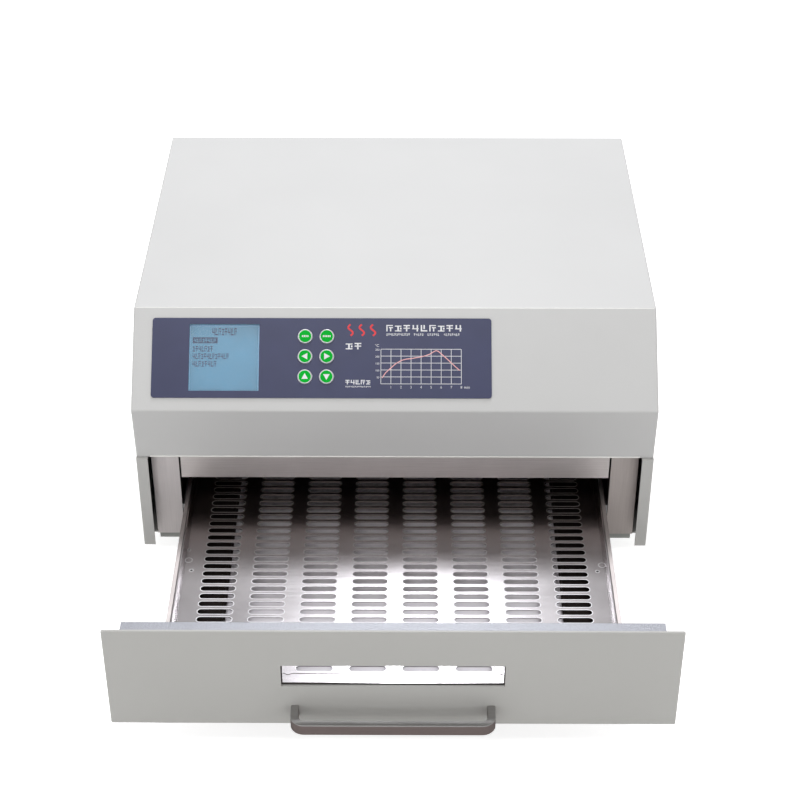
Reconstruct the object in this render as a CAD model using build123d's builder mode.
"""Bench-top infrared reflow oven with a slotted soldering drawer, drawn out to its stop.

Millimetres. +X is to the right of someone facing the front, +Y runs to the back, +Z is up.
The origin is on the bench, at the centre of the footprint of the whole oven with its drawer
drawn out. "Rest" is the drawer at its front stop.
"""

from build123d import *
import math
import os

# ---------------------------------------------------------------- driving dimensions
WIDTH = 430.0            # over the casing's sides
CASE_DEPTH = 365.6       # front face of the side skirts to the rear panel
DRAWER_TRAVEL = 213.5    # drawer's run from shut to its front stop
SHEET = 1.2              # painted casing sheet
THIN = 1.0               # stainless chamber and drawer sheet
GAP = 0.3                # face gap between the shut drawer and the skirts

FOOT_HEIGHT = 16.0
SKIRT_BOTTOM = 22.0
HOOD_BOTTOM = 113.7
SLOPE_BOTTOM = 163.3
TOP = 224.1
NOSE_FORWARD = 1.7       # the hood's lower crease stands this far in front of the skirts
LIP_BACK = 2.85          # the hood's bottom edge stands this far behind the skirts' face
SLOPE_RUN = 60.2         # skirts' face back to the top crease

HANDLE_REACH = 22.0
HANDLE_BAR = 6.0
PANEL_SHEET = 2.0
REAR_REACH = 6.0         # furthest rear fitting, behind the rear panel

CHAMBER_BACK = 17.0      # chamber's front face behind the skirts' face
CHAMBER_HALF = 181.8     # inside of the chamber's side walls
CHAMBER_TOP = 150.0
CHAMBER_BOTTOM = 23.0
OPENING_TOP = 82.5
REAR_BAY = 34.0          # rear wall of the chamber to the back of the rear panel

FRONT_PAN_DEPTH = 14.0
FRONT_PAN_HALF = 202.0
PANEL_BOTTOM, PANEL_TOP = 23.4, 116.8
PAN_BOTTOM, PAN_TOP = 27.0, 112.4
WINDOW_HALF = 84.0
WINDOW_LOW, WINDOW_HIGH = 62.2, 83.0
INNER_WINDOW_LOW = 43.0  # the inner wall is cut lower than the panel, down past the tray's front edge

TRAY_HALF = 175.4        # outside of the drawer's side walls
TRAY_LENGTH = 310.0
TRAY_TOP = 54.6          # face that the boards lie on
RIM_TOP = 66.6
RIM_HALF = 177.5
DRAWER_FLOOR = 24.6
SLOT_LENGTH, SLOT_WIDTH = 28.0, 5.8
SLOT_PITCH_X, SLOT_PITCH_Y = 40.77, 9.27
SLOTS_ASIDE = 0.7        # the slots stand a little to the right of the tray's middle
SLOT_COLUMNS, SLOT_ROWS = 8, 32

# ---------------------------------------------------------------- planes that parts share
FRONT_Y = (DRAWER_TRAVEL + GAP + PANEL_SHEET + HANDLE_REACH - CASE_DEPTH - REAR_REACH) / 2
REAR_Y = FRONT_Y + CASE_DEPTH
CHAMBER_FRONT_Y = FRONT_Y + CHAMBER_BACK
CHAMBER_REAR_Y = REAR_Y - REAR_BAY
PANEL_BACK_Y = FRONT_Y - GAP - DRAWER_TRAVEL
PAN_BACK_Y = PANEL_BACK_Y + FRONT_PAN_DEPTH
APRON_Y = PAN_BACK_Y + 6.0
TRAY_REAR_Y = PAN_BACK_Y + TRAY_LENGTH
REAR_FACE_Y = REAR_Y - SHEET

NOSE = (FRONT_Y - NOSE_FORWARD, SLOPE_BOTTOM)
CREASE = (FRONT_Y + SLOPE_RUN, TOP)
LIP = (FRONT_Y + LIP_BACK, HOOD_BOTTOM)
SLOPE_ANGLE = math.atan2(CREASE[1] - NOSE[1], CREASE[0] - NOSE[0])
slope_plane = Plane(
    origin=(0, NOSE[0], NOSE[1]),
    x_dir=(1, 0, 0),
    z_dir=(0, -math.sin(SLOPE_ANGLE), math.cos(SLOPE_ANGLE)),
)
rear_plane = Plane(origin=(0, REAR_Y, 0), x_dir=(-1, 0, 0), z_dir=(0, 1, 0))

os.makedirs("parts", exist_ok=True)


def save(builder, name):
    """Labels a finished piece and writes it as its own STEP."""
    builder.part.label = name
    export_step(builder.part, f"parts/{name}.step")


def slab(x0, x1, y0, y1, z0, z1, mode=Mode.ADD):
    """A box between two corners, for use inside a part block."""
    with Locations(((x0 + x1) / 2, (y0 + y1) / 2, (z0 + z1) / 2)):
        Box(x1 - x0, y1 - y0, z1 - z0, mode=mode)


# ================================================================ casing
HOOD_SCREW_Z = 126.0
HOOD_SCREW_YS = [FRONT_Y + d for d in (70.0, 190.0, 310.0)]
LCD_X, LCD_S = -139.8, 44.8              # display centre on the slope
LCD_WIDE, LCD_HIGH = 57.4, 55.8
OVERLAY_LEFT, OVERLAY_RIGHT = -198.9, 79.1
OVERLAY_LOW, OVERLAY_HIGH = 11.0, 77.7
OVERLAY_THICK = 0.8
KEY_XS = (-73.5, -55.8)
KEY_SS = (62.3, 45.5, 28.6)
KEY_RADIUS = 6.0
KEY_MID_X = sum(KEY_XS) / 2

with BuildPart() as hood_cover:
    with BuildSketch(Plane.YZ):
        with BuildLine():
            Polyline(LIP, NOSE, CREASE, (REAR_Y, TOP), (REAR_Y, HOOD_BOTTOM), close=True)
        make_face()
    extrude(amount=WIDTH / 2, both=True)
    creases = hood_cover.edges().filter_by(Axis.X).filter_by(
        lambda e: e.center().Z > SLOPE_BOTTOM - 1 and e.center().Y < REAR_Y - 1
    )
    fillet(creases, 2.2)
    outline = hood_cover.edges().filter_by(
        lambda e: abs(abs(e.center().X) - WIDTH / 2) < 0.01
        and e.center().Y < REAR_Y - 1
        and e.center().Z > HOOD_BOTTOM + 1
    )
    fillet(outline, 1.7)
    # the inside follows the same outline, one sheet in, and is open below and behind
    run_down = (NOSE[0] - LIP[0]) / (NOSE[1] - LIP[1])
    with BuildSketch(Plane.YZ):
        with BuildLine():
            Polyline(
                (LIP[0] - 20 * run_down, HOOD_BOTTOM - 20),
                NOSE,
                CREASE,
                (REAR_Y + 20, TOP),
                (REAR_Y + 20, HOOD_BOTTOM - 20),
                close=True,
            )
        make_face()
        offset(amount=-SHEET, kind=Kind.INTERSECTION)
    extrude(amount=WIDTH / 2 - SHEET, both=True, mode=Mode.SUBTRACT)
    slab(-WIDTH / 2 + SHEET, WIDTH / 2 - SHEET, LIP[0] + 0.4, LIP[0] + 9.0, HOOD_BOTTOM, HOOD_BOTTOM + SHEET)
    with BuildSketch(slope_plane.offset(-3)):
        with Locations((LCD_X, LCD_S)):
            Rectangle(LCD_WIDE + 1.0, LCD_HIGH + 1.0)
        with Locations((KEY_MID_X, KEY_SS[1])):
            Rectangle(37.0, 52.0)
    extrude(amount=5, mode=Mode.SUBTRACT)
    with BuildSketch(Plane.YZ):
        with Locations(*[(y, HOOD_SCREW_Z) for y in HOOD_SCREW_YS]):
            Circle(1.9)
    extrude(amount=WIDTH, both=True, mode=Mode.SUBTRACT)
save(hood_cover, "hood_cover")

SKIRT_TOP = HOOD_BOTTOM - 0.5
FLANGE_IN = 205.4        # inner face of the skirts' front return
BASE_HALF = 203.4
with BuildPart() as side_skirt_right:
    half = WIDTH / 2
    slab(half - SHEET, half, FRONT_Y, REAR_Y, SKIRT_BOTTOM, SKIRT_TOP)
    slab(FLANGE_IN, half, FRONT_Y, FRONT_Y + SHEET, SKIRT_BOTTOM, SKIRT_TOP)
    fillet(side_skirt_right.edges().filter_by(Axis.Z).group_by(Axis.Y)[0].sort_by(Axis.X)[-1], 1.1)
    slab(FLANGE_IN, half - SHEET / 2, FRONT_Y + SHEET / 2, FRONT_Y + 12.0, SKIRT_TOP - SHEET, SKIRT_TOP)
    slab(BASE_HALF, half - SHEET / 2, CHAMBER_FRONT_Y, REAR_FACE_Y - 0.2, SKIRT_BOTTOM, SKIRT_BOTTOM + SHEET)
    # the step and the tab that stand inside the hood and take its screws
    slab(half - 2.8, half - SHEET / 2, CHAMBER_FRONT_Y, REAR_FACE_Y - 0.2, SKIRT_TOP - SHEET, SKIRT_TOP)
    slab(half - 2.8, half - 1.6, CHAMBER_FRONT_Y, REAR_FACE_Y - 0.2, SKIRT_TOP - SHEET, HOOD_SCREW_Z + 10)
    with BuildSketch(Plane.YZ.offset(half - 5)):
        with Locations(*[(y, HOOD_SCREW_Z) for y in HOOD_SCREW_YS]):
            Circle(1.7)
    extrude(amount=6, mode=Mode.SUBTRACT)
save(side_skirt_right, "side_skirt_right")

with BuildPart() as side_skirt_left:
    mirror(side_skirt_right.part, about=Plane.YZ)
save(side_skirt_left, "side_skirt_left")

FOOT_X = 172.0
FOOT_YS = (CHAMBER_FRONT_Y + 30.0, REAR_Y - 34.0)
foot_spots = [(x, y) for x in (-FOOT_X, FOOT_X) for y in FOOT_YS]
FOOT_BOLT_R = 2.0
BASE_TOP = FOOT_HEIGHT + SHEET
SIDE_FLANGE_TOP = 45.0
PANEL_SCREWS = [(x, z) for x in (-195.0, 0.0, 195.0) for z in (34.0, 212.0)]
with BuildPart() as base_pan:
    slab(-BASE_HALF, BASE_HALF, CHAMBER_FRONT_Y, REAR_FACE_Y - 0.2, FOOT_HEIGHT, BASE_TOP)
    slab(-BASE_HALF, BASE_HALF, CHAMBER_FRONT_Y, CHAMBER_FRONT_Y + SHEET, FOOT_HEIGHT, CHAMBER_BOTTOM - 0.2)
    slab(-BASE_HALF, BASE_HALF, REAR_FACE_Y - 0.2 - SHEET, REAR_FACE_Y - 0.2, FOOT_HEIGHT, 40.0)
    for side in (-1, 1):
        x_out, x_in = side * BASE_HALF, side * (BASE_HALF - SHEET)
        slab(min(x_out, x_in), max(x_out, x_in), CHAMBER_FRONT_Y + SHEET, REAR_FACE_Y - 0.2, FOOT_HEIGHT, SIDE_FLANGE_TOP)
    fillet(base_pan.edges().filter_by(Axis.X).group_by(Axis.Z)[0].sort_by(Axis.Y)[0], 1.0)
    with BuildSketch(Plane.XY.offset(FOOT_HEIGHT - 1)):
        with Locations(*foot_spots):
            Circle(FOOT_BOLT_R + 0.2)
        with Locations((0, CHAMBER_FRONT_Y + 100.0), (0, CHAMBER_FRONT_Y + 230.0)):
            with GridLocations(60.0, 11.0, 4, 5):
                SlotOverall(42.0, 4.0)
    extrude(amount=3, mode=Mode.SUBTRACT)
    with BuildSketch(rear_plane.offset(-4.0)):
        with Locations(*[spot for spot in PANEL_SCREWS if spot[1] < 100]):
            Circle(1.6)
    extrude(amount=3.0, mode=Mode.SUBTRACT)
save(base_pan, "base_pan")

with BuildPart() as rubber_feet:
    with Locations(*[(x, y, 0) for x, y in foot_spots]):
        Cone(11.5, 14.0, FOOT_HEIGHT, align=(Align.CENTER, Align.CENTER, Align.MIN))
        Cylinder(FOOT_BOLT_R + 0.3, FOOT_HEIGHT, align=(Align.CENTER, Align.CENTER, Align.MIN), mode=Mode.SUBTRACT)
        Cylinder(5.0, 9.0, align=(Align.CENTER, Align.CENTER, Align.MIN), mode=Mode.SUBTRACT)
    fillet(rubber_feet.edges().filter_by(GeomType.CIRCLE).group_by(Axis.Z)[0].filter_by(lambda e: e.radius > 8), 1.5)
save(rubber_feet, "rubber_feet")

with BuildPart() as foot_fasteners:
    with Locations(*[(x, y, 6.8) for x, y in foot_spots]):
        Cylinder(4.0, 2.2, align=(Align.CENTER, Align.CENTER, Align.MIN))
    with Locations(*[(x, y, 6.8) for x, y in foot_spots]):
        Cylinder(FOOT_BOLT_R, 16.0, align=(Align.CENTER, Align.CENTER, Align.MIN))
    with BuildSketch(Plane.XY.offset(BASE_TOP)):
        with Locations(*foot_spots):
            RegularPolygon(4.0, 6)
            Circle(FOOT_BOLT_R + 0.05, mode=Mode.SUBTRACT)
    extrude(amount=3.0)
save(foot_fasteners, "foot_fasteners")

# ---------------------------------------------------------------- rear panel and what it carries
FAN_X, FAN_Z = -70.0, 112.0        # on the rear plane, seen from behind: +x there is to the left
FAN_SIZE, FAN_DEPTH = 80.0, 25.0
FAN_BORE = 38.5
FAN_SCREW = 71.5
INLET_X, SWITCH_X, FUSE_X = 150.0, 105.0, 68.0
SERVICE_Z = 58.0
INLET_BODY = (27.5, 20.0)
INLET_CAVITY = (24.6, 16.8)
INLET_EARS = 40.0
SWITCH_BODY = (13.0, 19.2)
FUSE_RADIUS = 6.2

with BuildPart() as rear_panel:
    inner = WIDTH / 2 - SHEET - 0.2
    slab(-inner, inner, REAR_FACE_Y, REAR_Y, SKIRT_BOTTOM, TOP - SHEET - 0.2)
    with BuildSketch(rear_plane.offset(-SHEET - 1)):
        with Locations((FAN_X, FAN_Z)):
            Circle(FAN_BORE)
            with GridLocations(FAN_SCREW, FAN_SCREW, 2, 2):
                Circle(2.2)
        with Locations((INLET_X, SERVICE_Z)):
            Rectangle(INLET_BODY[0] + 0.4, INLET_BODY[1] + 0.4)
            with GridLocations(INLET_EARS, 0, 2, 1):
                Circle(1.7)
        with Locations((SWITCH_X, SERVICE_Z)):
            Rectangle(SWITCH_BODY[0] + 0.2, SWITCH_BODY[1] + 0.2)
        with Locations((FUSE_X, SERVICE_Z)):
            Circle(FUSE_RADIUS + 0.1)
        with Locations(*PANEL_SCREWS):
            Circle(1.9)
        with Locations((110.0, 150.0)):
            with GridLocations(0, 9.0, 1, 7):
                SlotOverall(110.0, 3.6)
    extrude(amount=SHEET + 2, mode=Mode.SUBTRACT)
save(rear_panel, "rear_panel")

with BuildPart() as exhaust_fan_frame:
    with BuildSketch(rear_plane.offset(-SHEET - FAN_DEPTH)):
        with Locations((FAN_X, FAN_Z)):
            RectangleRounded(FAN_SIZE, FAN_SIZE, 4.0)
            Circle(FAN_BORE, mode=Mode.SUBTRACT)
            with GridLocations(FAN_SCREW, FAN_SCREW, 2, 2):
                Circle(2.2, mode=Mode.SUBTRACT)
    extrude(amount=FAN_DEPTH)
    # motor seat and its four spokes, on the chamber side
    with BuildSketch(rear_plane.offset(-SHEET - FAN_DEPTH)):
        with Locations((FAN_X, FAN_Z)):
            Circle(16.0)
            Circle(2.3, mode=Mode.SUBTRACT)
        with Locations((FAN_X, FAN_Z)):
            with PolarLocations((16.0 + FAN_BORE) / 2, 4, start_angle=45):
                Rectangle(FAN_BORE - 14.0, 4.0)
    extrude(amount=3.0)
save(exhaust_fan_frame, "exhaust_fan_frame")

with BuildPart() as exhaust_fan_rotor:
    with BuildSketch(rear_plane.offset(-SHEET - FAN_DEPTH + 4.0)):
        with Locations((FAN_X, FAN_Z)):
            Circle(17.0)
    extrude(amount=19.0)
    with BuildSketch(rear_plane.offset(-SHEET - FAN_DEPTH + 0.5)):
        with Locations((FAN_X, FAN_Z)):
            Circle(2.2)
    extrude(amount=4.0)
    hub = rear_plane.offset(-SHEET - FAN_DEPTH / 2 + 1.0).location * Pos(FAN_X, FAN_Z, 0)
    for blade in range(7):
        turn = hub * Rot(0, 0, blade * 360 / 7) * Pos(26.2, 0, 0) * Rot(38, 0, 0)
        with Locations(turn):
            Box(21.0, 19.0, 1.6)
    fillet(exhaust_fan_rotor.faces().sort_by(Axis.Y)[-1].edges(), 1.5)
save(exhaust_fan_rotor, "exhaust_fan_rotor")

WIRE = 1.8
with BuildPart() as exhaust_fan_guard:
    with BuildSketch(rear_plane):
        with Locations((FAN_X, FAN_Z)):
            for ring in (33.0, 25.0, 17.0, 9.0):
                Circle(ring + WIRE / 2)
                Circle(ring - WIRE / 2, mode=Mode.SUBTRACT)
        for arm in (45, 135):
            with Locations(Location((FAN_X, FAN_Z, 0), (0, 0, arm))):
                Rectangle(FAN_SCREW * math.sqrt(2) - 5.0, WIRE)
        with Locations((FAN_X, FAN_Z)):
            with GridLocations(FAN_SCREW, FAN_SCREW, 2, 2):
                Circle(4.2)
                Circle(2.3, mode=Mode.SUBTRACT)
    extrude(amount=WIRE)
save(exhaust_fan_guard, "exhaust_fan_guard")

with BuildPart() as power_inlet:
    with BuildSketch(rear_plane):
        with Locations((INLET_X, SERVICE_Z)):
            RectangleRounded(INLET_EARS + 9.0, INLET_BODY[1] + 4.0, 3.0)
            with GridLocations(INLET_EARS, 0, 2, 1):
                Circle(1.7, mode=Mode.SUBTRACT)
    extrude(amount=2.6)
    with BuildSketch(rear_plane.offset(-20.0)):
        with Locations((INLET_X, SERVICE_Z)):
            Rectangle(*INLET_BODY)
    extrude(amount=20.0)
    with BuildSketch(rear_plane.offset(-15.0)):
        with Locations((INLET_X, SERVICE_Z)):
            Rectangle(*INLET_CAVITY)
    extrude(amount=20.0, mode=Mode.SUBTRACT)
    # the socket's two bevelled upper corners, left solid
    for side in (-1, 1):
        with BuildSketch(rear_plane.offset(-15.0)):
            with BuildLine():
                x_edge = INLET_X + side * INLET_CAVITY[0] / 2
                z_edge = SERVICE_Z + INLET_CAVITY[1] / 2
                Polyline((x_edge, z_edge), (x_edge - side * 5.0, z_edge), (x_edge, z_edge - 5.0), close=True)
            make_face()
        extrude(amount=17.6)
    with BuildSketch(rear_plane.offset(-21.0)):
        with Locations((INLET_X - 7.0, SERVICE_Z - 2.0), (INLET_X + 7.0, SERVICE_Z - 2.0), (INLET_X, SERVICE_Z + 2.0)):
            Rectangle(2.0, 4.0)
    extrude(amount=8.0, mode=Mode.SUBTRACT)
save(power_inlet, "power_inlet")

with BuildPart() as inlet_pins:
    with BuildSketch(rear_plane.offset(-28.0)):
        with Locations((INLET_X - 7.0, SERVICE_Z - 2.0), (INLET_X + 7.0, SERVICE_Z - 2.0), (INLET_X, SERVICE_Z + 2.0)):
            Rectangle(2.0, 4.0)
    extrude(amount=26.0)
    chamfer(inlet_pins.faces().group_by(Axis.Y)[-1].edges(), 0.5)
save(inlet_pins, "inlet_pins")

with BuildPart() as rocker_bezel:
    with BuildSketch(rear_plane):
        with Locations((SWITCH_X, SERVICE_Z)):
            RectangleRounded(SWITCH_BODY[0] + 2.4, SWITCH_BODY[1] + 2.4, 1.5)
    extrude(amount=2.0)
    with BuildSketch(rear_plane.offset(-16.0)):
        with Locations((SWITCH_X, SERVICE_Z)):
            Rectangle(*SWITCH_BODY)
    extrude(amount=16.0)
    with BuildSketch(rear_plane.offset(-9.0)):
        with Locations((SWITCH_X, SERVICE_Z)):
            Rectangle(SWITCH_BODY[0] - 2.2, SWITCH_BODY[1] - 2.2)
    extrude(amount=12.0, mode=Mode.SUBTRACT)
    with BuildSketch(rear_plane.offset(-25.0)):
        with Locations((SWITCH_X, SERVICE_Z)):
            with GridLocations(0, 7.0, 1, 2):
                Rectangle(4.8, 0.8)
    extrude(amount=9.5)
    # sockets for the paddle's pivot
    with Locations((-SWITCH_X, REAR_Y - 1.0, SERVICE_Z)):
        Cylinder(1.35, SWITCH_BODY[0] - 0.6, rotation=(0, 90, 0), mode=Mode.SUBTRACT)
save(rocker_bezel, "rocker_bezel")

ROCKER_TILT = 11.0        # the paddle leans this far either way
with BuildPart() as rocker_paddle:
    tip = SWITCH_BODY[1] / 2 - 1.6
    with BuildSketch(Plane.YZ.offset(-SWITCH_X)):
        with BuildLine():
            Polyline((5.6, tip), (3.2, 0), (5.6, -tip), (-3.0, -tip + 2.6), (-3.0, tip - 2.6), close=True)
        make_face()
    extrude(amount=(SWITCH_BODY[0] - 2.8) / 2, both=True)
    fillet(rocker_paddle.edges().filter_by(Axis.X).group_by(Axis.Y)[-1], 0.8)
    with Locations((-SWITCH_X, 0, 0)):
        Cylinder(1.25, SWITCH_BODY[0] - 1.2, rotation=(0, 90, 0))
rocker_paddle.part.locate(Location((0, REAR_Y - 1.0, SERVICE_Z)) * Rot(ROCKER_TILT, 0, 0))
save(rocker_paddle, "rocker_paddle")

with BuildPart() as fuse_holder:
    fuse_place = rear_plane.location * Pos(FUSE_X, SERVICE_Z, 0)
    with Locations(fuse_place):
        Cylinder(8.2, 2.0, align=(Align.CENTER, Align.CENTER, Align.MIN))
        Cylinder(6.6, 5.0, align=(Align.CENTER, Align.CENTER, Align.MIN))
        Cylinder(FUSE_RADIUS, 24.0, align=(Align.CENTER, Align.CENTER, Align.MAX))
    with Locations(fuse_place * Pos(0, 0, 4.2)):
        Box(8.0, 1.4, 2.0, mode=Mode.SUBTRACT)
save(fuse_holder, "fuse_holder")

with BuildPart() as case_screws:
    for side in (-1, 1):
        for y in HOOD_SCREW_YS:
            seat = Location((side * WIDTH / 2, y, HOOD_SCREW_Z)) * Rot(0, side * 90, 0)
            with Locations(seat):
                Cylinder(3.4, 1.7, align=(Align.CENTER, Align.CENTER, Align.MIN))
                Cylinder(1.6, 5.5, align=(Align.CENTER, Align.CENTER, Align.MAX))
    rear_seats = [rear_plane.location * Pos(x, z, 0) for x, z in PANEL_SCREWS]
    inlet_seats = [rear_plane.location * Pos(INLET_X + side * INLET_EARS / 2, SERVICE_Z, 2.6) for side in (-1, 1)]
    for seat in rear_seats + inlet_seats:
        with Locations(seat):
            Cylinder(3.2, 1.7, align=(Align.CENTER, Align.CENTER, Align.MIN))
            Cylinder(1.5, 6.5, align=(Align.CENTER, Align.CENTER, Align.MAX))
save(case_screws, "case_screws")

with BuildPart() as panel_brackets:
    for x in (-195.0, 0.0, 195.0):
        top = TOP - SHEET
        slab(x - 9, x + 9, REAR_FACE_Y - 1.6, REAR_FACE_Y, top - 18, top)
        slab(x - 9, x + 9, REAR_FACE_Y - 15, REAR_FACE_Y, top - 1.6, top)
    with BuildSketch(rear_plane.offset(-4.0)):
        with Locations(*[spot for spot in PANEL_SCREWS if spot[1] > 100]):
            Circle(1.6)
    extrude(amount=4.0, mode=Mode.SUBTRACT)
save(panel_brackets, "panel_brackets")

with BuildPart() as fan_screws:
    for corner in GridLocations(FAN_SCREW, FAN_SCREW, 2, 2).local_locations:
        with Locations(rear_plane.location * Pos(FAN_X, FAN_Z, WIRE) * corner):
            Cylinder(3.6, 1.8, align=(Align.CENTER, Align.CENTER, Align.MIN))
            Cylinder(1.9, 16.0, align=(Align.CENTER, Align.CENTER, Align.MAX))
save(fan_screws, "fan_screws")

# ================================================================ chamber
BLANKET_HALF = 201.8
SHELF_Z = 166.6
HEATER_Z = 122.0
HEATER_RADIUS = 6.0
HEATER_HALF = 170.0
HEATER_YS = [CHAMBER_FRONT_Y + 42.0 + 46.0 * n for n in range(6)]
PROBE_SPOT = (-60.0, 92.0)

with BuildPart() as chamber_shell:
    wall = CHAMBER_HALF + THIN
    slab(-wall, wall, CHAMBER_FRONT_Y + 1.6, CHAMBER_REAR_Y, CHAMBER_BOTTOM, CHAMBER_BOTTOM + THIN)
    slab(-wall, wall, CHAMBER_REAR_Y - THIN, CHAMBER_REAR_Y, CHAMBER_BOTTOM, CHAMBER_TOP)
    for side in (-1, 1):
        x_mid = side * (CHAMBER_HALF + THIN / 2)
        slab(x_mid - THIN / 2, x_mid + THIN / 2, CHAMBER_FRONT_Y + 0.1, CHAMBER_REAR_Y, CHAMBER_BOTTOM, CHAMBER_TOP)
    with BuildSketch(Plane.XZ.offset(-CHAMBER_REAR_Y - 1)):
        with Locations((-FAN_X, FAN_Z)):
            with HexLocations(3.6, 5, 9):
                Circle(2.2)
        with Locations(PROBE_SPOT):
            Circle(2.4)
    extrude(amount=4, mode=Mode.SUBTRACT)
save(chamber_shell, "chamber_shell")

with BuildPart() as chamber_roof:
    slab(-wall, wall, CHAMBER_FRONT_Y + 0.1, CHAMBER_REAR_Y, CHAMBER_TOP, CHAMBER_TOP + THIN)
    # shallow troughs that throw the heat down, one over each lamp
    with BuildSketch(Plane.YZ):
        with Locations(*[(y, CHAMBER_TOP + THIN / 2) for y in HEATER_YS]):
            Trapezoid(30.0, 7.0, 45, align=(Align.CENTER, Align.MIN))
    extrude(amount=HEATER_HALF, both=True)
    with BuildSketch(Plane.YZ):
        with Locations(*[(y, CHAMBER_TOP - 0.5) for y in HEATER_YS]):
            Trapezoid(30.0, 7.0, 45, align=(Align.CENTER, Align.MIN))
    extrude(amount=HEATER_HALF - THIN, both=True, mode=Mode.SUBTRACT)
save(chamber_roof, "chamber_roof")

with BuildPart() as front_plate_right:
    slab(CHAMBER_HALF + 0.2, FLANGE_IN - 0.6, CHAMBER_FRONT_Y - THIN, CHAMBER_FRONT_Y, 22.0, 120.0)
    slab(CHAMBER_HALF + THIN + 0.1, BLANKET_HALF, CHAMBER_FRONT_Y - THIN, CHAMBER_FRONT_Y + 3.0, 118.8, 120.0)
save(front_plate_right, "front_plate_right")

with BuildPart() as front_plate_left:
    mirror(front_plate_right.part, about=Plane.YZ)
save(front_plate_left, "front_plate_left")

with BuildPart() as chamber_header:
    half = CHAMBER_HALF - 1.4
    slab(-half, half, CHAMBER_FRONT_Y - THIN, CHAMBER_FRONT_Y, OPENING_TOP, 150.0)
    slab(-half, half, CHAMBER_FRONT_Y - THIN, CHAMBER_FRONT_Y + 14.0, OPENING_TOP, OPENING_TOP + THIN)
    slab(-half, half, CHAMBER_FRONT_Y - THIN, CHAMBER_FRONT_Y + 10.0, CHAMBER_TOP - THIN, CHAMBER_TOP)
save(chamber_header, "chamber_header")

with BuildPart() as insulation_blanket:
    with BuildSketch(Plane.XZ.offset(-CHAMBER_FRONT_Y - 4.0)):
        with BuildLine():
            wall_out = CHAMBER_HALF + THIN + 0.3
            roof_out = CHAMBER_TOP + THIN + 8.0
            Polyline(
                (-BLANKET_HALF, 24.5),
                (-BLANKET_HALF, SHELF_Z - 0.2),
                (BLANKET_HALF, SHELF_Z - 0.2),
                (BLANKET_HALF, 24.5),
                (wall_out, 24.5),
                (wall_out, roof_out),
                (-wall_out, roof_out),
                (-wall_out, 24.5),
                close=True,
            )
        make_face()
    extrude(amount=-(CHAMBER_REAR_Y - CHAMBER_FRONT_Y - 6.0))
save(insulation_blanket, "insulation_blanket")

with BuildPart() as heater_tubes:
    for y in HEATER_YS:
        with Locations((0, y, HEATER_Z)):
            Cylinder(HEATER_RADIUS, 2 * HEATER_HALF, rotation=(0, 90, 0))
            Cylinder(HEATER_RADIUS - 1.2, 2 * HEATER_HALF + 2, rotation=(0, 90, 0), mode=Mode.SUBTRACT)
save(heater_tubes, "heater_tubes")

with BuildPart() as heater_filaments:
    for y in HEATER_YS:
        with Locations((0, y, HEATER_Z)):
            Cylinder(3.0, 2 * HEATER_HALF - 6, rotation=(0, 90, 0))
save(heater_filaments, "heater_filaments")

with BuildPart() as heater_sockets:
    for y in HEATER_YS:
        for side in (-1, 1):
            place = Location((side * (CHAMBER_HALF - 0.1), y, HEATER_Z)) * Rot(0, -side * 90, 0)
            with Locations(place):
                Cylinder(9.5, 3.0, align=(Align.CENTER, Align.CENTER, Align.MIN))
                Cylinder(8.2, 21.0, align=(Align.CENTER, Align.CENTER, Align.MIN))
            with Locations(place * Pos(0, 0, 11.0)):
                Cylinder(HEATER_RADIUS + 0.15, 12, align=(Align.CENTER, Align.CENTER, Align.MIN), mode=Mode.SUBTRACT)
save(heater_sockets, "heater_sockets")

with BuildPart() as temperature_probe:
    with Locations((PROBE_SPOT[0], CHAMBER_REAR_Y + 12.0, PROBE_SPOT[1])):
        Cylinder(1.5, 88.0, rotation=(90, 0, 0), align=(Align.CENTER, Align.CENTER, Align.MIN))
    with Locations((PROBE_SPOT[0], CHAMBER_REAR_Y + 6.0, PROBE_SPOT[1])):
        Cylinder(4.5, 6.0, rotation=(90, 0, 0), align=(Align.CENTER, Align.CENTER, Align.MIN))
save(temperature_probe, "temperature_probe")

# ================================================================ drawer runners
RAIL_LOW, RAIL_HIGH = 36.4, 51.6
RAIL_SHEET = 1.2
with BuildPart() as slide_rail_right:
    with BuildSketch(Plane.XZ.offset(-CHAMBER_FRONT_Y - 1.0)):
        with BuildLine():
            Polyline(
                (CHAMBER_HALF, RAIL_LOW),
                (177.4, RAIL_LOW),
                (177.4, RAIL_LOW + RAIL_SHEET),
                (CHAMBER_HALF - 1.0, RAIL_LOW + RAIL_SHEET),
                (CHAMBER_HALF - 1.0, RAIL_HIGH - RAIL_SHEET),
                (177.4, RAIL_HIGH - RAIL_SHEET),
                (177.4, RAIL_HIGH),
                (CHAMBER_HALF, RAIL_HIGH),
                close=True,
            )
        make_face()
    extrude(amount=-(CHAMBER_REAR_Y - CHAMBER_FRONT_Y - 3.0))
save(slide_rail_right, "slide_rail_right")

with BuildPart() as slide_rail_left:
    mirror(slide_rail_right.part, about=Plane.YZ)
save(slide_rail_left, "slide_rail_left")

with BuildPart() as drawer_runner_right:
    low, high = RAIL_LOW + RAIL_SHEET + 0.4, RAIL_HIGH - RAIL_SHEET - 0.4
    with BuildSketch(Plane.XZ.offset(-PAN_BACK_Y - 2.0)):
        with BuildLine():
            Polyline(
                (TRAY_HALF, low),
                (180.2, low),
                (180.2, low + RAIL_SHEET),
                (TRAY_HALF + 1.0, low + RAIL_SHEET),
                (TRAY_HALF + 1.0, high - RAIL_SHEET),
                (180.2, high - RAIL_SHEET),
                (180.2, high),
                (TRAY_HALF, high),
                close=True,
            )
        make_face()
    extrude(amount=-(TRAY_LENGTH - 4.0))
save(drawer_runner_right, "drawer_runner_right")

with BuildPart() as drawer_runner_left:
    mirror(drawer_runner_right.part, about=Plane.YZ)
save(drawer_runner_left, "drawer_runner_left")

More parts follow.
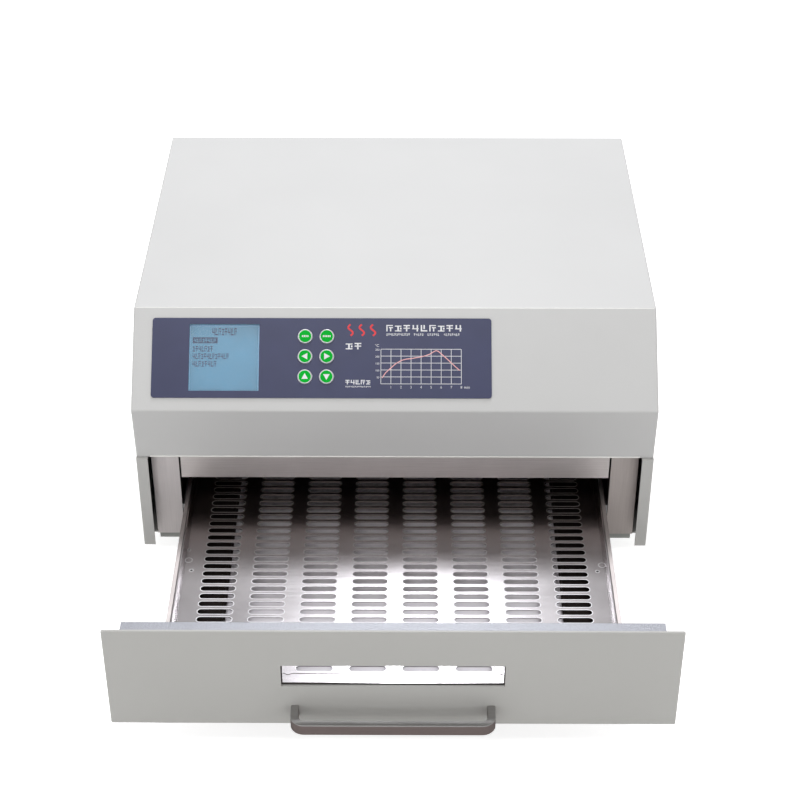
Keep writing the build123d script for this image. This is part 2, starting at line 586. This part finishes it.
# ================================================================ drawer
with BuildPart() as drawer_pan:
    out = TRAY_HALF
    slab(-out, out, PAN_BACK_Y, TRAY_REAR_Y, DRAWER_FLOOR, DRAWER_FLOOR + 0.8)
    slab(-out, out, TRAY_REAR_Y - THIN, TRAY_REAR_Y, DRAWER_FLOOR, TRAY_TOP - 1.4)
    for side in (-1, 1):
        x_mid = side * (out - THIN / 2)
        slab(x_mid - THIN / 2, x_mid + THIN / 2, PAN_BACK_Y, TRAY_REAR_Y, DRAWER_FLOOR, RIM_TOP)
        x_a, x_b = sorted((side * (out - THIN), side * RIM_HALF))
        slab(x_a, x_b, PAN_BACK_Y, TRAY_REAR_Y, RIM_TOP - THIN, RIM_TOP)
        x_a, x_b = sorted((side * (RIM_HALF - THIN), side * RIM_HALF))
        slab(x_a, x_b, PAN_BACK_Y, TRAY_REAR_Y, RIM_TOP - 5.0, RIM_TOP)
save(drawer_pan, "drawer_pan")

with BuildPart() as lower_reflector:
    with BuildSketch(Plane.XZ.offset(-PAN_BACK_Y - 22.0)):
        with BuildLine():
            Polyline((-147.0, 39.0), (-136.5, 26.2), (136.5, 26.2), (147.0, 39.0))
            offset(amount=0.6, side=Side.BOTH)
        make_face()
    extrude(amount=-(TRAY_LENGTH - 30.0))
save(lower_reflector, "lower_reflector")

with BuildPart() as drawer_cross_bar:
    inside = TRAY_HALF - THIN
    slab(-inside, inside, PAN_BACK_Y + 10.0, PAN_BACK_Y + 19.0, 38.0, 39.2)
    slab(-inside, inside, PAN_BACK_Y + 10.0, PAN_BACK_Y + 11.2, DRAWER_FLOOR + 0.8, 39.2)
save(drawer_cross_bar, "drawer_cross_bar")

FIRST_SLOT_Y = APRON_Y + 5.6
SLOT_MID_Y = FIRST_SLOT_Y + (SLOT_ROWS - 1) * SLOT_PITCH_Y / 2
TRAY_INSIDE = TRAY_HALF - THIN - 0.3
with BuildPart() as slotted_tray:
    slab(-TRAY_INSIDE, TRAY_INSIDE, APRON_Y, TRAY_REAR_Y - 0.4, TRAY_TOP - THIN, TRAY_TOP)
    slab(-TRAY_INSIDE, TRAY_INSIDE, APRON_Y, APRON_Y + THIN, TRAY_TOP - 15.0, TRAY_TOP)
    # the middle runs on through the inner wall and ends close behind the window
    slab(-WINDOW_HALF - 1, WINDOW_HALF + 1, PANEL_BACK_Y + 1.5, APRON_Y + THIN, TRAY_TOP - THIN, TRAY_TOP)
    slab(-TRAY_INSIDE, TRAY_INSIDE, TRAY_REAR_Y - 0.4 - THIN, TRAY_REAR_Y - 0.4, TRAY_TOP - THIN, RIM_TOP - 1.4)
    fillet(slotted_tray.edges().filter_by(Axis.X).filter_by(
        lambda e: abs(e.center().Y - APRON_Y) < 0.01 and e.center().Z > TRAY_TOP - 0.1
        and abs(e.center().X) > WINDOW_HALF
    ), 0.9)
    for side in (-1, 1):
        x_a, x_b = sorted((side * TRAY_INSIDE, side * (TRAY_INSIDE - THIN)))
        slab(x_a, x_b, APRON_Y, TRAY_REAR_Y - 0.4, TRAY_TOP - THIN, RIM_TOP - 1.4)
    with BuildSketch(Plane.XY.offset(TRAY_TOP - 3)):
        with Locations((SLOTS_ASIDE, SLOT_MID_Y)):
            with GridLocations(SLOT_PITCH_X, SLOT_PITCH_Y, SLOT_COLUMNS, SLOT_ROWS):
                SlotOverall(SLOT_LENGTH, SLOT_WIDTH)
    extrude(amount=4, mode=Mode.SUBTRACT)
save(slotted_tray, "slotted_tray")

with BuildPart() as drawer_front_box:
    slab(-FRONT_PAN_HALF, FRONT_PAN_HALF, PANEL_BACK_Y, PAN_BACK_Y, PAN_BOTTOM, PAN_TOP)
    slab(-FRONT_PAN_HALF + SHEET, FRONT_PAN_HALF - SHEET, PANEL_BACK_Y - 1, PAN_BACK_Y - SHEET,
         PAN_BOTTOM + SHEET, PAN_TOP - SHEET, mode=Mode.SUBTRACT)
    slab(-WINDOW_HALF - 2, WINDOW_HALF + 2, PANEL_BACK_Y, PAN_BACK_Y + 1, INNER_WINDOW_LOW, WINDOW_HIGH + 1,
         mode=Mode.SUBTRACT)
    fillet(drawer_front_box.edges().filter_by(Axis.X).filter_by(
        lambda e: e.center().Y > PAN_BACK_Y - 0.1 and e.length > 300
    ), 1.1)
save(drawer_front_box, "drawer_front_box")

HANDLE_HALF = 77.25
HANDLE_LOW, HANDLE_HIGH = 32.9, 42.8
HANDLE_CORNER = 10.5
PANEL_FRONT_Y = PANEL_BACK_Y - PANEL_SHEET
HANDLE_SCREW_X = HANDLE_HALF - HANDLE_BAR / 2
HANDLE_MID_Z = (HANDLE_LOW + HANDLE_HIGH) / 2
with BuildPart() as drawer_panel:
    with BuildSketch(Plane.XZ.offset(-PANEL_BACK_Y)):
        with Locations((0, (PANEL_BOTTOM + PANEL_TOP) / 2)):
            RectangleRounded(WIDTH, PANEL_TOP - PANEL_BOTTOM, 1.2)
        with Locations((0, (WINDOW_LOW + WINDOW_HIGH) / 2)):
            RectangleRounded(2 * WINDOW_HALF, WINDOW_HIGH - WINDOW_LOW, 0.8, mode=Mode.SUBTRACT)
        with Locations((-HANDLE_SCREW_X, HANDLE_MID_Z), (HANDLE_SCREW_X, HANDLE_MID_Z)):
            Circle(2.1, mode=Mode.SUBTRACT)
    extrude(amount=PANEL_SHEET)
    fillet(drawer_panel.faces().sort_by(Axis.Y)[0].outer_wire().edges(), 0.8)
save(drawer_panel, "drawer_panel")

with BuildPart() as drawer_handle:
    with BuildSketch(Plane.XY.offset(HANDLE_LOW)):
        with BuildLine():
            reach_y = PANEL_FRONT_Y - HANDLE_REACH
            Polyline(
                (-HANDLE_HALF, PANEL_FRONT_Y),
                (-HANDLE_HALF, reach_y),
                (HANDLE_HALF, reach_y),
                (HANDLE_HALF, PANEL_FRONT_Y),
                (HANDLE_HALF - HANDLE_BAR, PANEL_FRONT_Y),
                (HANDLE_HALF - HANDLE_BAR, reach_y + HANDLE_BAR),
                (-HANDLE_HALF + HANDLE_BAR, reach_y + HANDLE_BAR),
                (-HANDLE_HALF + HANDLE_BAR, PANEL_FRONT_Y),
                close=True,
            )
        make_face()
    extrude(amount=HANDLE_HIGH - HANDLE_LOW)
    uprights = drawer_handle.edges().filter_by(Axis.Z)
    fillet(uprights.group_by(Axis.Y)[0], HANDLE_CORNER)
    fillet(drawer_handle.edges().filter_by(Axis.Z).filter_by(
        lambda e: abs(e.center().Y - reach_y - HANDLE_BAR) < 0.01
    ), HANDLE_CORNER - HANDLE_BAR)
    chamfer(drawer_handle.faces().filter_by(Axis.Z).edges().filter_by(
        lambda e: e.center().Y < PANEL_FRONT_Y - 0.5), 0.6)
    with BuildSketch(Plane.XZ.offset(-PANEL_FRONT_Y)):
        with Locations((-HANDLE_SCREW_X, HANDLE_MID_Z), (HANDLE_SCREW_X, HANDLE_MID_Z)):
            Circle(1.9)
    extrude(amount=9, mode=Mode.SUBTRACT)
save(drawer_handle, "drawer_handle")

with BuildPart() as handle_screws:
    for side in (-1, 1):
        with Locations((side * HANDLE_SCREW_X, PANEL_BACK_Y, HANDLE_MID_Z)):
            Cylinder(3.8, 2.4, rotation=(90, 0, 0), align=(Align.CENTER, Align.CENTER, Align.MAX))
            Cylinder(1.8, PANEL_SHEET + 8, rotation=(90, 0, 0), align=(Align.CENTER, Align.CENTER, Align.MIN))
save(handle_screws, "handle_screws")

# ================================================================ control panel
def on_slope(x, s, height=0.0):
    """A place on the sloping face: x across it, s up it from its lower crease, height off it."""
    return slope_plane.location * Pos(x, s, height)


with BuildPart() as control_overlay:
    with BuildSketch(slope_plane):
        with Locations(((OVERLAY_LEFT + OVERLAY_RIGHT) / 2, (OVERLAY_LOW + OVERLAY_HIGH) / 2)):
            RectangleRounded(OVERLAY_RIGHT - OVERLAY_LEFT, OVERLAY_HIGH - OVERLAY_LOW, 2.5)
        with Locations((LCD_X, LCD_S)):
            Rectangle(LCD_WIDE, LCD_HIGH, mode=Mode.SUBTRACT)
        with Locations(*[(x, s) for x in KEY_XS for s in KEY_SS]):
            Circle(KEY_RADIUS + 0.25, mode=Mode.SUBTRACT)
    extrude(amount=OVERLAY_THICK)
save(control_overlay, "control_overlay")

with BuildPart() as display_window:
    with BuildSketch(slope_plane.offset(-SHEET)):
        with Locations((LCD_X, LCD_S)):
            Rectangle(LCD_WIDE - 0.1, LCD_HIGH - 0.1)
    extrude(amount=SHEET + OVERLAY_THICK - 0.2)
save(display_window, "display_window")

with BuildPart() as display_module:
    with BuildSketch(slope_plane.offset(-8.2)):
        with Locations((LCD_X, LCD_S)):
            Rectangle(LCD_WIDE + 8, LCD_HIGH + 7)
    extrude(amount=6.8)
    with BuildSketch(slope_plane.offset(-3.4)):
        with Locations((LCD_X, LCD_S)):
            Rectangle(LCD_WIDE + 2, LCD_HIGH + 2)
    extrude(amount=4, mode=Mode.SUBTRACT)
    with BuildSketch(slope_plane.offset(-9.8)):
        with Locations((LCD_X, LCD_S)):
            Rectangle(LCD_WIDE + 26, LCD_HIGH + 12)
    extrude(amount=1.6)
save(display_module, "display_module")

with BuildPart() as display_glass:
    with BuildSketch(slope_plane.offset(-3.4)):
        with Locations((LCD_X, LCD_S)):
            Rectangle(LCD_WIDE + 1.6, LCD_HIGH + 1.6)
    extrude(amount=1.1)
save(display_glass, "display_glass")

with BuildPart() as keypad_board:
    with BuildSketch(slope_plane.offset(-9.8)):
        with Locations((KEY_MID_X, KEY_SS[1])):
            Rectangle(48.0, 62.0)
    extrude(amount=1.6)
save(keypad_board, "keypad_board")

with BuildPart() as key_switches:
    for x in KEY_XS:
        for s in KEY_SS:
            with Locations(on_slope(x, s, -8.2)):
                Box(6.0, 6.0, 2.2, align=(Align.CENTER, Align.CENTER, Align.MIN))
                Cylinder(1.6, 2.6, align=(Align.CENTER, Align.CENTER, Align.MIN))
save(key_switches, "key_switches")

with BuildPart() as board_standoffs:
    spots = [(LCD_X + sx * (LCD_WIDE / 2 + 9), LCD_S + ss * (LCD_HIGH / 2 + 2)) for sx in (-1, 1) for ss in (-1, 1)]
    spots += [(KEY_MID_X + sx * 21.0, KEY_SS[1] + ss * 28.0) for sx in (-1, 1) for ss in (-1, 1)]
    for x, s in spots:
        with Locations(on_slope(x, s, -8.2)):
            Cylinder(2.4, 7.0, align=(Align.CENTER, Align.CENTER, Align.MIN))
save(board_standoffs, "board_standoffs")


def push_key(x, s):
    """One round key: cap, retaining flange under the overlay, and stem down to its switch."""
    with BuildPart() as key:
        with Locations(on_slope(x, s, -1.3)):
            Cylinder(KEY_RADIUS + 1.0, 1.1, align=(Align.CENTER, Align.CENTER, Align.MIN))
            Cylinder(KEY_RADIUS, 3.3, align=(Align.CENTER, Align.CENTER, Align.MIN))
        with Locations(on_slope(x, s, -4.8)):
            Cylinder(1.5, 4.0, align=(Align.CENTER, Align.CENTER, Align.MIN))
        rings = key.edges().filter_by(GeomType.CIRCLE)
        fillet(max(rings, key=lambda e: (e.center() - slope_plane.origin).dot(slope_plane.z_dir)), 0.5)
    return key


key_names = [f"key_{side}_{row}" for side in ("left", "right") for row in ("upper", "middle", "lower")]
key_spots = [(x, s) for x in KEY_XS for s in KEY_SS]
for key_name, (x, s) in zip(key_names, key_spots):
    save(push_key(x, s), key_name)

# ================================================================ electronics on the shelf
SHELF_TOP = SHELF_Z + SHEET
with BuildPart() as equipment_shelf:
    edge = BLANKET_HALF + 0.4 + SHEET
    slab(-edge, edge, CHAMBER_FRONT_Y + 12.0, CHAMBER_REAR_Y - 4.0, SHELF_Z, SHELF_TOP)
    for side in (-1, 1):
        x_a, x_b = sorted((side * edge, side * (edge - SHEET)))
        slab(x_a, x_b, CHAMBER_FRONT_Y + 12.0, CHAMBER_REAR_Y - 4.0, SIDE_FLANGE_TOP, SHELF_TOP)
    slab(-edge, edge, CHAMBER_REAR_Y - 4.0 - SHEET, CHAMBER_REAR_Y - 4.0, SHELF_Z, SHELF_TOP + 8.0)
save(equipment_shelf, "equipment_shelf")

BOARD = (-60.0, 110.0, 60.0, 190.0)        # x0, x1, y0, y1 of the power board
with BuildPart() as power_board:
    slab(BOARD[0], BOARD[1], BOARD[2], BOARD[3], SHELF_TOP + 8.0, SHELF_TOP + 9.6)
save(power_board, "power_board")

with BuildPart() as board_posts:
    for x in (BOARD[0] + 6, BOARD[1] - 6):
        for y in (BOARD[2] + 6, BOARD[3] - 6):
            with Locations((x, y, SHELF_TOP)):
                Cylinder(3.0, 8.0, align=(Align.CENTER, Align.CENTER, Align.MIN))
save(board_posts, "board_posts")

with BuildPart() as board_components:
    deck = SHELF_TOP + 9.6
    for n in range(3):
        slab(-48 + n * 24.0, -30 + n * 24.0, 72.0, 92.0, deck, deck + 16.0)
    for n in range(4):
        with Locations((38.0 + n * 16.0, 82.0, deck)):
            Cylinder(6.0, 20.0, align=(Align.CENTER, Align.CENTER, Align.MIN))
    slab(20.0, 60.0, 130.0, 162.0, deck, deck + 4.0)
    for n in range(5):
        slab(-46.0 + n * 13.0, -37.0 + n * 13.0, 170.0, 182.0, deck, deck + 11.0)
save(board_components, "board_components")

with BuildPart() as triac_heatsink:
    slab(-52.0, 8.0, 108.0, 152.0, deck, deck + 3.0)
    for n in range(9):
        slab(-52.0 + n * 7.25, -50.0 + n * 7.25, 108.0, 152.0, deck, deck + 26.0)
save(triac_heatsink, "triac_heatsink")

with BuildPart() as transformer_core:
    slab(-160.0, -104.0, 104.0, 150.0, SHELF_TOP, SHELF_TOP + 44.0)
    slab(-154.0, -142.0, 103.0, 151.0, SHELF_TOP + 8.0, SHELF_TOP + 36.0, mode=Mode.SUBTRACT)
    slab(-122.0, -110.0, 103.0, 151.0, SHELF_TOP + 8.0, SHELF_TOP + 36.0, mode=Mode.SUBTRACT)
save(transformer_core, "transformer_core")

with BuildPart() as transformer_coil:
    slab(-153.6, -110.4, 96.0, 158.0, SHELF_TOP + 8.4, SHELF_TOP + 35.6)
    slab(-142.4, -121.6, 103.6, 150.4, SHELF_TOP + 8.0, SHELF_TOP + 36.0, mode=Mode.SUBTRACT)
    fillet(transformer_coil.edges().filter_by(Axis.Z).filter_by(
        lambda e: e.center().Y < 100 or e.center().Y > 154), 4.0)
save(transformer_coil, "transformer_coil")
